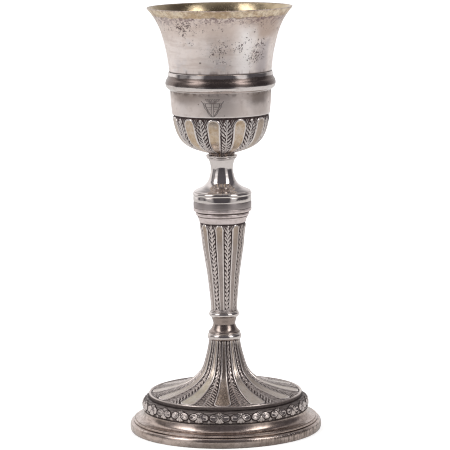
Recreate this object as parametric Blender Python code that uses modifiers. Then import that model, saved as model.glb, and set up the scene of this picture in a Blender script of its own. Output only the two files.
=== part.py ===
"""Communion chalice in parcel-gilt silver: cup, calyx, baluster stem and round foot.

Turned and chased pieces stack into a stand.  The cup screws into it by a stud, a loose
calyx sits between the two, and a tie rod with a washer and nut runs up from the foot.
It stands on z = 0 about the Z axis, +Z up, the front towards -Y.

Dimensions are in millimetres and meshes in metres.  Profile tables hold
(radius, height) and run down the outer side, then back up the inner side.
"""

from math import cos, hypot, pi, radians, sin

import bmesh
import bpy
from mathutils import Matrix

MM = 0.001

# ---------------------------------------------------------------- driving dimensions
HEIGHT = 270.0            # foot underside to cup lip
LIP_R = 46.0              # outer radius of the flared lip
LIP_LAND = 0.95           # width of the flat land on top of the lip
FOOT_R = 61.2             # widest radius of the foot
FOOT_LAND_R = 56.6        # inner radius of the ring the foot stands on
SEAM = 0.1                # gap between neighbouring pieces

# Top of each stacked piece; the next one starts a seam higher.
BASE_RIM_TOP = 6.0
CAVETTO_TOP = 13.1
PALMETTE_TOP = 21.3
DOME_TOP = 57.85
FOOT_NECK_TOP = 62.0
SPOOL_TOP = 72.4
STEM_BASE_TOP = 76.5
SHAFT_TOP = 133.6
CAPITAL_TOP = 140.3
KNOP_BASE_TOP = 142.95
DRUM_TOP = 146.95
NECK_TOP = 173.9
SEAT_TOP = 176.3          # rim of the collar that carries the calyx
CALYX_TOP = 217.8

BOWL_BOTTOM = 181.0       # underside of the cup bowl
FITTING_TOP = BOWL_BOTTOM - SEAM

# Threads: a mating pair starts a whole number of pitches apart.
THREAD_STEPS = 12         # steps in a turn, and segments of the threaded bodies
ROOT_OVERLAP = 0.12       # how far a ridge starts inside its core radius
RUN_OUT_STEPS = 4         # steps over which a ridge fades at each end

CUP_PITCH = 1.5
CUP_THREAD_Z = 161.9      # start of the sleeve groove
STUD_CORE, STUD_CREST = 2.45, 3.0
BORE_CORE, BORE_CREST = 2.65, 3.2

NUT_PITCH = 1.25
ROD_THREAD_Z = 48.3       # start of the rod thread
ROD_CORE, ROD_R = 2.05, 2.5
NUT_CORE, NUT_CREST = 2.22, 2.68
NUT_FLATS = 9.0           # across flats
NUT_TOP, NUT_BOTTOM = 56.2, 51.3

# Finishes: linear RGBA base colour and roughness of the metal.
SILVER_COLOUR = (0.66, 0.63, 0.60, 1.0)
SILVER = dict(colour=SILVER_COLOUR, roughness=0.3)
MATT_SILVER = dict(colour=SILVER_COLOUR, roughness=0.5)
POLISHED_SILVER = dict(colour=SILVER_COLOUR, roughness=0.18)
BRIGHT_SILVER = dict(colour=SILVER_COLOUR, roughness=0.15)
CHASED_SILVER = dict(colour=(0.50, 0.47, 0.44, 1.0), roughness=0.42)
GILT = dict(colour=(0.78, 0.62, 0.36, 1.0), roughness=0.25)
STEEL = dict(colour=(0.36, 0.35, 0.34, 1.0), roughness=0.45)

# Share of the relief at each step of angle across one unit of ornament.
TONGUE = (-1.0, -0.1, 0.0, 0.0, -0.1, -1.0)
FOOT_TONGUE = (-0.9, 0.0, 0.0, 0.0, -0.9)
PALMETTE = (1.0, -0.6, 1.0)

# ---------------------------------------------------------------- scene
for old in list(bpy.data.objects):
    bpy.data.objects.remove(old, do_unlink=True)

pieces = bpy.data.collections.new("communion_chalice")
cutters = bpy.data.collections.new("cutters")
for collection in (pieces, cutters):
    bpy.context.scene.collection.children.link(collection)


# ---------------------------------------------------------------- helpers
def metal(name, colour, roughness):
    mat = bpy.data.materials.new(name)
    mat.use_nodes = True
    shader = mat.node_tree.nodes["Principled BSDF"]
    shader.inputs["Base Color"].default_value = colour
    shader.inputs["Metallic"].default_value = 1.0
    shader.inputs["Roughness"].default_value = roughness
    return mat


def add_piece(name, mesh, finish):
    """A visible piece with its own material."""
    piece = bpy.data.objects.new(name, mesh)
    pieces.objects.link(piece)
    mesh.materials.append(metal(name + "_metal", **finish))
    return piece


def add_cutter(name, mesh):
    """A hidden helper for a boolean."""
    helper = bpy.data.objects.new(name, mesh)
    cutters.objects.link(helper)
    helper.hide_render = True
    helper.display_type = "WIRE"
    return helper


def to_mesh(name, bm):
    """Turn the bmesh into a named mesh and free it."""
    mesh = bpy.data.meshes.new(name)
    bm.to_mesh(mesh)
    bm.free()
    return mesh


def ring_point(bm, radius, angle, z):
    """A vertex at the given place round the axis, in millimetres and radians."""
    return bm.verts.new((radius * cos(angle) * MM, radius * sin(angle) * MM, z * MM))


def half_section(name, table):
    """The outline of a turned piece, left open along the axis."""
    points = [(radius * MM, 0.0, z * MM) for radius, z in table]
    edges = [
        (i, i + 1) for i in range(len(points) - 1)
        if table[i][0] + table[i + 1][0] > 0
    ]
    if table[0][0] > 0:
        edges.append((len(points) - 1, 0))
    mesh = bpy.data.meshes.new(name)
    mesh.from_pydata(points, edges, [])
    return mesh


def spin(ob, segments):
    mod = ob.modifiers.new("turn", "SCREW")
    mod.axis = "Z"
    mod.angle = 2 * pi
    mod.steps = mod.render_steps = segments
    mod.use_merge_vertices = True
    mod.merge_threshold = 0.01 * MM
    mod.use_smooth_shade = True


def turned(name, table, segments, finish=SILVER):
    piece = add_piece(name, half_section(name, table), finish)
    spin(piece, segments)
    return piece


def turned_cutter(name, table, segments):
    helper = add_cutter(name, half_section(name, table))
    spin(helper, segments)
    return helper


def boolean(ob, other, operation):
    mod = ob.modifiers.new(operation.lower(), "BOOLEAN")
    mod.operation = operation
    mod.object = other
    mod.solver = "EXACT"


def chased(name, outer, inner, units, phase, pattern, relief, row_shares):
    """A turned shell whose outer skin is raised or sunk along its normal.

    The units repeat round the axis, the first centred phase degrees from the front.
    The offset is relief times the pattern's share times the outer row's share.
    """
    steps = len(pattern)
    count = units * steps
    angles = [
        radians(phase - 90.0 + 360.0 * (i - (steps - 1) / 2) / count)
        for i in range(count)
    ]
    bm = bmesh.new()
    rings = []
    for j, (radius, z) in enumerate(outer):
        above, below = outer[max(j - 1, 0)], outer[min(j + 1, len(outer) - 1)]
        run, rise = below[0] - above[0], below[1] - above[1]
        size = hypot(run, rise)
        ring = []
        for i, angle in enumerate(angles):
            offset = relief * row_shares[j] * pattern[i % steps]
            ring.append(ring_point(
                bm, radius - rise / size * offset, angle, z + run / size * offset))
        rings.append(ring)
    for radius, z in inner:
        rings.append([ring_point(bm, radius, angle, z) for angle in angles])
    for here, following in zip(rings, rings[1:] + rings[:1]):
        for i in range(count):
            k = (i + 1) % count
            face = bm.faces.new((here[i], following[i], following[k], here[k]))
            face.smooth = True
    mesh = to_mesh(name, bm)
    mesh.set_sharp_from_angle(angle=radians(38))
    return add_piece(name, mesh, CHASED_SILVER)


def thread_ridge(name, core, crest, pitch, start_z, turns):
    """A right-hand helical ridge, triangular in section, that fades at both ends."""
    root = core - ROOT_OVERLAP
    bm = bmesh.new()
    last = turns * THREAD_STEPS
    rings = []
    for i in range(last + 1):
        angle = 2 * pi * i / THREAD_STEPS
        z = start_z + pitch * i / THREAD_STEPS
        share = min(1.0, (i + 1) / RUN_OUT_STEPS, (last - i + 1) / RUN_OUT_STEPS)
        height = (crest - root) * share
        triangle = ((root, height), (root + height, 0.0), (root, -height))
        rings.append([ring_point(bm, radius, angle, z + dz) for radius, dz in triangle])
    for here, there in zip(rings, rings[1:]):
        for a in range(3):
            b = (a + 1) % 3
            bm.faces.new((here[a], here[b], there[b], there[a]))
    bm.faces.new(rings[0][::-1])
    bm.faces.new(rings[-1])
    bmesh.ops.recalc_face_normals(bm, faces=bm.faces)
    return add_cutter(name, to_mesh(name, bm))


# ---------------------------------------------------------------- foot
turned("base_rim", [
    (58.6, BASE_RIM_TOP), (60.2, 5.6), (61.0, 4.2), (FOOT_R, 2.6), (60.9, 0.0),
    (FOOT_LAND_R, 0.0), (57.0, BASE_RIM_TOP),
], 48)

turned("foot_cavetto_ring", [
    (52.75, CAVETTO_TOP), (53.05, 11.6), (53.9, 9.7), (55.4, 8.4), (58.2, 7.7), (58.95, 6.9),
    (58.8, BASE_RIM_TOP + SEAM), (57.2, BASE_RIM_TOP + SEAM), (54.2, 7.2), (52.2, 9.4),
    (51.3, CAVETTO_TOP),
], 44)

chased(
    "palmette_band",
    outer=[
        (48.6, PALMETTE_TOP), (50.0, 21.15), (52.2, 20.0), (53.35, 18.3), (53.4, 16.0),
        (52.7, CAVETTO_TOP + SEAM),
    ],
    inner=[(51.3, CAVETTO_TOP + SEAM), (51.7, 17.6), (48.6, 19.7)],
    units=25, phase=-3.5, pattern=PALMETTE, relief=0.3,
    row_shares=[0.0, 0.3, 1.0, 1.0, 1.0, 0.0],
)

chased(
    "foot_dome",
    outer=[
        (9.9, DOME_TOP), (10.15, 55.2), (11.1, 50.6), (12.2, 46.2), (13.8, 41.0),
        (16.65, 36.0), (21.0, 32.0), (28.0, 28.3), (37.0, 25.85), (46.6, 24.0),
        (49.0, 23.4), (48.8, PALMETTE_TOP + SEAM),
    ],
    inner=[
        (47.5, PALMETTE_TOP + SEAM), (46.6, 22.4), (28.0, 26.4), (20.2, 30.2),
        (14.2, 36.6), (9.9, 48.6), (8.7, DOME_TOP),
    ],
    units=12, phase=-2.5, pattern=FOOT_TONGUE, relief=0.5,
    row_shares=[0.0] + [1.0] * 8 + [0.8, 0.0, 0.0],
)

turned("foot_neck_ring", [
    (9.9, FOOT_NECK_TOP), (10.6, 61.2), (10.8, 59.9), (10.55, 58.7),
    (9.95, DOME_TOP + SEAM), (7.6, DOME_TOP + SEAM), (7.6, FOOT_NECK_TOP),
], 32)

# ---------------------------------------------------------------- stem
turned("lower_spool", [
    (8.0, SPOOL_TOP), (7.2, 69.3), (7.0, 68.0), (7.3, 66.9), (8.2, 64.9), (9.5, 63.4),
    (9.9, FOOT_NECK_TOP + SEAM), (6.6, FOOT_NECK_TOP + SEAM), (5.6, 66.5), (5.6, SPOOL_TOP),
], 32)

turned("stem_base_ring", [
    (8.7, STEM_BASE_TOP), (9.45, 75.4), (9.6, 74.2), (9.2, 73.1),
    (8.1, SPOOL_TOP + SEAM), (5.8, SPOOL_TOP + SEAM), (5.8, STEM_BASE_TOP),
], 32)

chased(
    "stem_shaft",
    outer=[
        (14.7, SHAFT_TOP), (14.55, 130.6), (13.75, 125.5), (12.95, 117.8), (11.75, 110.0),
        (10.3, 100.4), (9.25, 90.6), (8.5, 82.9), (8.2, 78.6), (8.3, STEM_BASE_TOP + SEAM),
    ],
    inner=[(6.9, STEM_BASE_TOP + SEAM), (7.6, 89.0), (11.9, 121.0), (13.1, SHAFT_TOP)],
    units=8, phase=-9.0, pattern=TONGUE, relief=0.45,
    row_shares=[0.0] + [1.0] * 8 + [0.0],
)

turned("stem_capital", [
    (16.5, CAPITAL_TOP), (16.95, 139.5), (16.9, 138.3), (15.9, 137.6), (15.85, 137.0),
    (15.05, 135.6), (14.75, SHAFT_TOP + SEAM),
    (13.2, SHAFT_TOP + SEAM), (14.4, 137.4), (15.2, CAPITAL_TOP),
], 40)

turned("knop_base_ring", [
    (18.3, KNOP_BASE_TOP), (18.45, 141.8), (18.15, CAPITAL_TOP + SEAM),
    (15.4, CAPITAL_TOP + SEAM), (15.8, KNOP_BASE_TOP),
], 40)

turned("knop_drum", [
    (18.3, DRUM_TOP), (18.3, KNOP_BASE_TOP + SEAM), (17.1, KNOP_BASE_TOP + SEAM),
    (17.1, DRUM_TOP),
], 40, MATT_SILVER)

turned("neck_spool", [
    (8.35, NECK_TOP), (7.65, 171.6), (7.1, 169.3), (7.0, 167.2), (7.45, 164.1),
    (8.05, 161.5), (9.6, 158.8), (12.15, 156.3), (15.4, 154.7), (17.6, 153.45),
    (18.25, 152.8), (18.6, 151.8), (18.35, 150.6), (18.35, DRUM_TOP + SEAM),
    (17.1, DRUM_TOP + SEAM), (17.1, 150.3), (14.4, 153.2), (10.2, 155.6), (7.2, 159.2),
    (5.15, 162.2), (5.15, NECK_TOP),
], 36, POLISHED_SILVER)

turned("seat_collar", [
    (9.25, SEAT_TOP), (10.05, 176.2), (9.7, 175.1), (9.25, NECK_TOP + SEAM),
    (3.9, NECK_TOP + SEAM), (3.9, 175.9), (8.9, 175.9),
], 32)


# ---------------------------------------------------------------- fittings inside the stand
def coupling_sleeve():
    """The threaded socket for the cup stud."""
    sleeve = turned("coupling_sleeve", [
        (0.0, 173.7), (5.0, 173.7), (5.0, 150.0), (2.65, 150.0), (2.65, 158.5), (0.0, 158.5),
    ], 24)
    bore = turned_cutter("sleeve_bore", [
        (0.0, 175.0), (BORE_CORE, 175.0), (BORE_CORE, 161.0), (0.0, 161.0),
    ], THREAD_STEPS)
    boolean(sleeve, bore, "DIFFERENCE")
    groove = thread_ridge(
        "sleeve_groove", BORE_CORE, BORE_CREST, CUP_PITCH, start_z=CUP_THREAD_Z, turns=9)
    boolean(sleeve, groove, "DIFFERENCE")


def tie_rod():
    """The rod from the sleeve down into the foot, threaded at its lower end."""
    rod = turned("tie_rod", [
        (0.0, 158.3), (ROD_R, 158.3), (ROD_R, 58.0), (ROD_CORE, 57.5), (ROD_CORE, 47.6),
        (1.7, 47.2), (0.0, 47.2),
    ], THREAD_STEPS, STEEL)
    thread = thread_ridge(
        "rod_thread", ROD_CORE, ROD_R, NUT_PITCH, start_z=ROD_THREAD_Z, turns=7)
    boolean(rod, thread, "UNION")


def retaining_nut():
    """A hexagonal nut with bevelled corners and a threaded bore."""
    corner_r = NUT_FLATS / 2 / cos(pi / 6) * MM
    bm = bmesh.new()
    bmesh.ops.create_cone(
        bm, cap_ends=True, segments=6, radius1=corner_r, radius2=corner_r,
        depth=(NUT_TOP - NUT_BOTTOM) * MM,
        matrix=Matrix.Translation((0, 0, (NUT_TOP + NUT_BOTTOM) / 2 * MM)),
    )
    nut = add_piece("retaining_nut", to_mesh("retaining_nut", bm), STEEL)
    rounding = turned_cutter("nut_rounding", [
        (0.0, NUT_TOP + 0.3), (4.35, NUT_TOP + 0.3), (4.95, NUT_TOP - 0.3),
        (5.3, NUT_TOP - 0.7), (5.3, NUT_BOTTOM + 0.7), (4.95, NUT_BOTTOM + 0.3),
        (4.35, NUT_BOTTOM - 0.3), (0.0, NUT_BOTTOM - 0.3),
    ], 18)
    boolean(nut, rounding, "INTERSECT")
    overrun = 1.0  # how far the bore cutter passes each face
    bore = turned_cutter("nut_bore", [
        (0.0, NUT_TOP + overrun), (NUT_CORE, NUT_TOP + overrun),
        (NUT_CORE, NUT_BOTTOM - overrun), (0.0, NUT_BOTTOM - overrun),
    ], THREAD_STEPS)
    boolean(nut, bore, "DIFFERENCE")
    groove = thread_ridge(
        "nut_groove", NUT_CORE, NUT_CREST, NUT_PITCH,
        start_z=ROD_THREAD_Z + NUT_PITCH, turns=7)
    boolean(nut, groove, "DIFFERENCE")


coupling_sleeve()
tie_rod()
turned("foot_washer", [(8.3, DOME_TOP), (8.3, 56.3), (2.85, 56.3), (2.85, DOME_TOP)], 24)
retaining_nut()

# ---------------------------------------------------------------- calyx, loose on its seat
chased(
    "calyx_shell",
    outer=[
        (31.95, CALYX_TOP), (31.6, 210.0), (30.75, 202.9), (30.5, 202.0), (30.0, 197.6),
        (29.1, 193.6), (27.2, 188.8), (24.4, 185.0), (19.0, 181.2), (13.6, 179.3),
        (8.9, 178.0), (8.0, SEAT_TOP + SEAM),
    ],
    inner=[
        (3.6, SEAT_TOP + SEAM), (3.6, 177.8), (8.0, 178.5), (14.0, 180.9), (20.0, 183.5),
        (25.4, 188.4), (28.2, 195.6), (29.6, 204.6), (31.0, CALYX_TOP),
    ],
    units=11, phase=-9.3, pattern=TONGUE, relief=0.65,
    row_shares=[0.0] * 3 + [1.0] * 7 + [0.0] * 2,
)

turned("calyx_rim_ring", [
    (32.75, 229.4), (33.1, 227.2), (33.6, 225.2), (34.4, 224.0), (34.75, 222.1),
    (34.1, 220.0), (33.0, 218.6), (32.0, CALYX_TOP + SEAM),
    (31.05, CALYX_TOP + SEAM), (32.3, 229.4),
], 44, BRIGHT_SILVER)

# ---------------------------------------------------------------- cup
turned("cup_bowl", [
    # outside
    (LIP_R, HEIGHT), (43.8, 267.2), (41.6, 264.1), (39.5, 260.3), (37.85, 256.5),
    (36.0, 250.4), (34.15, 242.7), (32.9, 235.1), (32.25, 230.2), (31.95, 228.4),
    (30.4, 216.0), (28.9, 205.0), (27.4, 196.0), (24.2, 188.6), (19.2, 184.0),
    (13.0, 181.8), (8.0, BOWL_BOTTOM), (0.0, BOWL_BOTTOM),
    # inside
    (0.0, 182.1), (8.6, 182.2), (14.6, 183.5), (20.6, 186.6), (25.0, 192.4),
    (27.6, 201.2), (29.5, 216.0), (31.15, 230.2), (33.2, 242.7), (36.9, 256.5),
    (40.6, 264.3), (LIP_R - LIP_LAND, HEIGHT),
], 44, GILT)

turned("cup_boss", [(7.2, FITTING_TOP), (7.2, 178.75), (3.2, 178.0), (3.2, FITTING_TOP)], 24)


def cup_stud():
    """The threaded stud under the bowl."""
    stud = turned("cup_stud", [
        (0.0, FITTING_TOP), (2.9, FITTING_TOP), (2.9, 174.4), (STUD_CORE, 173.9),
        (STUD_CORE, 162.9), (1.9, 162.4), (0.0, 162.4),
    ], THREAD_STEPS)
    thread = thread_ridge(
        "stud_thread", STUD_CORE, STUD_CREST, CUP_PITCH,
        start_z=CUP_THREAD_Z + CUP_PITCH, turns=6)
    boolean(stud, thread, "UNION")


cup_stud()
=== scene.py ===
"""A communion chalice: foot, stem and knop, calyx and cup, as fine meshes with procedural metals.

The chalice stands on z = 0 with its axis on Z and its front towards -Y.  Angles are in degrees
round the axis from the front, towards +X (the right).  Pieces are drawn in millimetres.
Each visible piece stands for the CAD node it covers; the hidden pieces are the CAD solids.
"""

import operator
from functools import cached_property, reduce
from math import cos, pi, radians, sin

import bpy
import numpy as np
from mathutils import Matrix, Vector


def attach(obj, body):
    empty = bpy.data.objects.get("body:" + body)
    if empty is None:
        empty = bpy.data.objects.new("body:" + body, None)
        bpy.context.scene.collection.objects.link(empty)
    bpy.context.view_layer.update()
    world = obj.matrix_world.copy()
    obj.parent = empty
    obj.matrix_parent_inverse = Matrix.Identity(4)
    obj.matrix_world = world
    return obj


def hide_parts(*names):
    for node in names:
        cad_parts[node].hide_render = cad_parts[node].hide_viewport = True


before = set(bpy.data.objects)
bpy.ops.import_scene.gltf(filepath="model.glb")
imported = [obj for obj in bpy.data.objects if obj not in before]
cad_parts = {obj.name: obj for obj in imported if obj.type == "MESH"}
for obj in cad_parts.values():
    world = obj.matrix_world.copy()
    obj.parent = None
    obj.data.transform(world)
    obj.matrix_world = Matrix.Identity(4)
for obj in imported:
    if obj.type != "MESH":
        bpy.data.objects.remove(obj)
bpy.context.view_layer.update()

MM = 0.001
DEGREES = 180 / pi               # degrees in a radian
SEGMENTS = 288                   # round a wide turned piece
SLIM_SEGMENTS = 192              # round a slim one
INNER_STEP = 3.0                 # mm between points on the plain inside of a chased shell

# ============================================================ half sections
# (radius, height) in mm, with a 1 added where the surface has a sharp edge.
# They run down the outside and, where closed in one table, back up the inside.
BASE_RIM = [
    (58.55, 6.0, 1), (59.5, 5.95), (60.3, 5.6), (60.85, 4.9), (61.1, 4.0), (61.2, 2.6),
    (61.1, 1.2), (60.85, 0.25), (60.6, 0.0, 1), (56.6, 0.0, 1), (57.0, 6.0, 1),
]
CAVETTO_RING = [
    (52.75, 13.1, 1), (52.85, 12.4), (53.15, 11.2), (53.7, 10.0), (54.55, 9.05), (55.7, 8.4),
    (57.0, 8.05), (57.75, 7.95, 1), (57.85, 7.45, 1), (58.35, 7.55), (58.85, 7.2),
    (58.95, 6.7), (58.8, 6.1, 1), (57.2, 6.1, 1), (54.2, 7.2), (52.4, 9.2), (51.3, 13.1, 1),
]
PALMETTE_OUTER = [
    (48.6, 21.3, 1), (49.7, 21.25), (50.9, 20.85), (52.1, 20.0), (52.95, 18.85),
    (53.35, 17.4), (53.4, 16.0), (53.15, 14.5), (52.7, 13.2, 1),
]
PALMETTE_INNER = [(51.3, 13.2, 1), (51.8, 15.6), (51.7, 17.4), (50.8, 18.9), (48.6, 19.9, 1)]
DOME_OUTER = [
    (9.9, 57.85, 1), (9.95, 56.8), (10.1, 55.4), (10.5, 53.2), (11.05, 50.6), (11.7, 48.0),
    (12.35, 45.6), (13.1, 43.0), (14.15, 40.0), (15.2, 38.0), (16.65, 36.0), (18.5, 34.1),
    (21.0, 32.1), (24.0, 30.3), (28.0, 28.5), (33.0, 26.9), (40.0, 25.2), (44.0, 24.35),
    (47.1, 23.75), (47.75, 23.62, 1), (48.2, 23.9), (48.7, 23.95), (49.0, 23.55),
    (48.95, 22.6), (48.8, 21.33, 1),
]
DOME_INNER = [
    (47.5, 21.33, 1), (46.2, 22.5), (40.0, 23.6), (28.0, 26.3), (20.2, 30.2), (16.4, 33.6),
    (14.2, 36.8), (12.0, 42.0), (9.9, 48.8), (9.0, 54.0), (8.7, 57.85, 1),
]
FOOT_NECK_RING = [
    (9.75, 62.0, 1), (9.95, 61.7, 1), (10.4, 61.4), (10.75, 60.7), (10.85, 59.9),
    (10.75, 59.1), (10.4, 58.4), (9.95, 57.95, 1), (7.6, 57.95, 1), (7.6, 62.0, 1),
]
LOWER_SPOOL = [
    (8.0, 72.4, 1), (7.85, 71.6), (7.6, 70.6), (7.2, 69.2), (7.0, 68.1), (7.1, 67.3),
    (7.5, 66.3), (7.95, 65.3), (8.6, 64.3), (9.3, 63.55), (9.8, 63.1, 1), (9.98, 62.7),
    (9.85, 62.1, 1), (6.6, 62.1, 1), (5.6, 66.5), (5.6, 72.4, 1),
]
STEM_BASE_RING = [
    (8.55, 76.5, 1), (8.8, 76.35), (8.8, 75.95), (8.6, 75.75, 1), (9.1, 75.5), (9.5, 74.9),
    (9.6, 74.2), (9.4, 73.4), (8.85, 72.75), (8.1, 72.5, 1), (5.8, 72.5, 1), (5.8, 76.5, 1),
]
SHAFT_OUTER = [
    (14.7, 133.6, 1), (14.65, 132.6), (14.6, 131.3), (14.25, 129.3), (13.75, 125.5),
    (13.35, 121.6), (12.95, 117.8), (12.35, 113.9), (11.75, 110.0), (11.15, 106.1),
    (10.55, 102.3), (10.05, 98.4), (9.65, 94.5), (9.25, 90.6), (8.85, 86.7), (8.5, 82.9),
    (8.25, 79.2), (8.2, 77.6), (8.3, 76.6, 1),
]
SHAFT_INNER = [(6.9, 76.6, 1), (7.5, 89.0), (9.4, 104.0), (11.8, 121.0), (13.1, 133.6, 1)]
STEM_CAPITAL = [
    (16.2, 140.3, 1), (16.25, 139.95, 1), (16.7, 139.8), (16.95, 139.3), (16.95, 138.7),
    (16.7, 138.15), (16.2, 137.85, 1), (15.75, 137.75), (15.7, 137.5, 1), (15.95, 137.25),
    (15.9, 136.9), (15.5, 136.1), (15.1, 135.2), (14.85, 134.4), (14.75, 133.7, 1),
    (13.2, 133.7, 1), (14.4, 137.4), (15.2, 140.3, 1),
]
KNOP_BASE_RING = [
    (18.15, 142.95, 1), (18.4, 142.75), (18.45, 142.2), (18.45, 141.6), (18.3, 141.0),
    (17.9, 140.7, 1), (17.2, 140.6), (16.6, 140.4, 1), (15.4, 140.4, 1), (15.8, 142.95, 1),
]
KNOP_DRUM = [
    (18.2, 146.95, 1), (18.3, 146.8), (18.3, 143.2), (18.2, 143.05, 1), (17.1, 143.05, 1),
    (17.1, 146.95, 1),
]
NECK_SPOOL = [
    (8.35, 173.9, 1), (8.3, 173.4), (7.95, 172.5), (7.65, 171.6), (7.4, 170.6), (7.2, 169.7),
    (7.05, 168.7), (7.0, 167.8), (7.0, 166.9), (7.08, 165.9), (7.25, 164.9), (7.5, 163.9),
    (7.85, 162.4), (8.25, 161.1), (8.75, 160.1), (9.3, 159.1), (10.05, 158.15), (11.0, 157.2),
    (12.2, 156.3), (13.9, 155.35), (16.0, 154.5), (17.4, 153.85), (17.95, 153.4, 1),
    (17.85, 153.05, 1), (18.3, 152.8), (18.6, 152.2), (18.6, 151.5), (18.4, 150.95),
    (18.15, 150.75, 1), (18.35, 150.5), (18.35, 147.2), (18.2, 147.05, 1),
    (17.1, 147.05, 1), (17.1, 150.3), (14.4, 153.2), (10.2, 155.6), (7.2, 159.2),
    (5.15, 162.2, 1), (5.15, 173.9, 1),
]
SEAT_COLLAR = [
    (8.9, 175.95, 1), (9.25, 176.28), (9.7, 176.3), (10.05, 176.1), (10.0, 175.7),
    (9.65, 175.3), (9.35, 175.0, 1), (9.42, 174.7), (9.3, 174.25), (8.9, 174.0, 1),
    (3.9, 174.0, 1), (3.9, 175.9, 1),
]
BAND_OUTER = [
    (31.9, 217.8, 1), (31.85, 217.2), (31.75, 213.0), (31.6, 210.0), (31.3, 207.0),
    (30.98, 204.4), (30.86, 203.4), (30.72, 202.9), (30.5, 202.65, 1),
]
BAND_INNER = [(29.4, 202.65, 1), (30.2, 210.0), (31.0, 217.8, 1)]
CREST_OUTER = [
    (30.55, 202.6, 1), (30.5, 201.0), (30.25, 198.4), (29.4, 194.6), (28.1, 190.8),
    (26.05, 187.0), (24.35, 185.0), (22.1, 183.1), (18.9, 181.2), (13.6, 179.3),
    (10.6, 178.45), (8.9, 178.0), (8.35, 177.5), (8.1, 177.0), (8.0, 176.4, 1),
]
CREST_INNER = [
    (3.6, 176.4, 1), (3.6, 177.7, 1), (8.0, 178.3), (14.0, 180.7), (20.0, 183.4),
    (25.2, 188.2), (28.0, 195.6), (29.2, 202.6, 1),
]
CALYX_RING = [
    (32.7, 229.4, 1), (32.88, 229.2), (32.92, 228.7), (33.1, 227.0), (33.4, 225.9),
    (33.7, 225.2, 1), (34.15, 224.6), (34.6, 223.5), (34.75, 222.3), (34.65, 221.0),
    (34.2, 219.9), (33.5, 219.1), (32.9, 218.7, 1), (32.7, 218.55), (32.45, 218.3, 1),
    (32.2, 218.15), (32.05, 217.9, 1), (31.05, 217.9, 1), (32.3, 229.4, 1),
]
BOWL_OUTER = [
    (45.2, 269.93, 1), (45.6, 270.0), (45.95, 269.85), (45.75, 269.4), (44.35, 267.75),
    (42.5, 265.3), (40.9, 262.8), (39.55, 260.3), (38.4, 257.8), (37.4, 255.3),
    (36.6, 252.75), (35.9, 250.2), (35.25, 247.6), (34.65, 245.1), (34.1, 242.5),
    (33.6, 240.0), (33.2, 237.4), (32.85, 235.0), (32.55, 232.6), (32.3, 230.4),
    (32.0, 228.4), (31.3, 222.0), (30.4, 216.0), (28.9, 205.0), (27.4, 196.0),
    (24.2, 188.6), (19.2, 184.0), (13.0, 181.8), (8.0, 181.0), (0.06, 181.0, 1),
]
BOWL_INNER = [
    (0.06, 182.1, 1), (4.0, 182.1), (8.6, 182.25), (14.6, 183.5), (20.6, 186.6),
    (25.0, 192.4), (27.6, 201.2), (29.5, 216.0), (31.3, 230.2), (32.6, 239.6),
    (34.6, 249.5), (37.2, 257.3), (41.0, 264.5), (44.0, 268.6), (45.2, 269.93, 1),
]


# ============================================================ mesh building
def catmull_rom(before, start, stop, after, count):
    """Points of a centripetal Catmull-Rom curve after start and up to stop."""
    def root_distance(point, other):
        return max(np.linalg.norm(other - point), 1e-6) ** 0.5

    knot1 = root_distance(before, start)
    knot2 = knot1 + root_distance(start, stop)
    knot3 = knot2 + root_distance(stop, after)
    at = (knot1 + (knot2 - knot1) * np.arange(1, count + 1) / count)[:, None]

    def between(low, high, first, second):
        return (high - at) / (high - low) * first + (at - low) / (high - low) * second

    middle = between(knot1, knot2, start, stop)
    early = between(0.0, knot2, between(0.0, knot1, before, start), middle)
    late = between(knot1, knot3, middle, between(knot2, knot3, stop, after))
    return between(knot1, knot2, early, late)


def sampled(table, step):
    """A half section as curves between its sharp edges: radius, z and length along it."""
    points = np.array([point[:2] for point in table], float)
    sharp = [i for i, point in enumerate(table) if len(point) == 3]
    out = [points[:1]]
    for first, last in zip(sharp, sharp[1:]):
        run = points[first : last + 1]
        # a mirrored point beyond each end lets the curve reach the sharp edges
        padded = np.vstack([run[0] * 2 - run[1], run, run[-1] * 2 - run[-2]])
        for i in range(len(run) - 1):
            before, start, stop, after = padded[i : i + 4]
            count = max(1, int(round(np.linalg.norm(stop - start) / step)))
            if len(run) == 2:
                share = np.arange(1, count + 1)[:, None] / count
                out.append(start + (stop - start) * share)
            else:
                out.append(catmull_rom(before, start, stop, after, count))
    curve = np.vstack(out)
    pieces = np.linalg.norm(np.diff(curve, axis=0), axis=1)
    return curve[:, 0], curve[:, 1], np.concatenate([[0], np.cumsum(pieces)])


def outward_normals(radius, z):
    """Unit normals of a half section that runs down its outer side."""
    along_radius, along_z = np.gradient(radius), np.gradient(z)
    size = np.maximum(np.hypot(along_radius, along_z), 1e-9)
    return -along_z / size, along_radius / size


def even_angles(count, start=0.0):
    return start + 360.0 * np.arange(count) / count


def rings(radius, z, angles):
    """Positions in mm, a row to each point of the half section and a column to each angle."""
    turn = np.radians(angles)
    return np.stack([radius * np.sin(turn), -radius * np.cos(turn), z + 0 * turn], -1)


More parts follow.
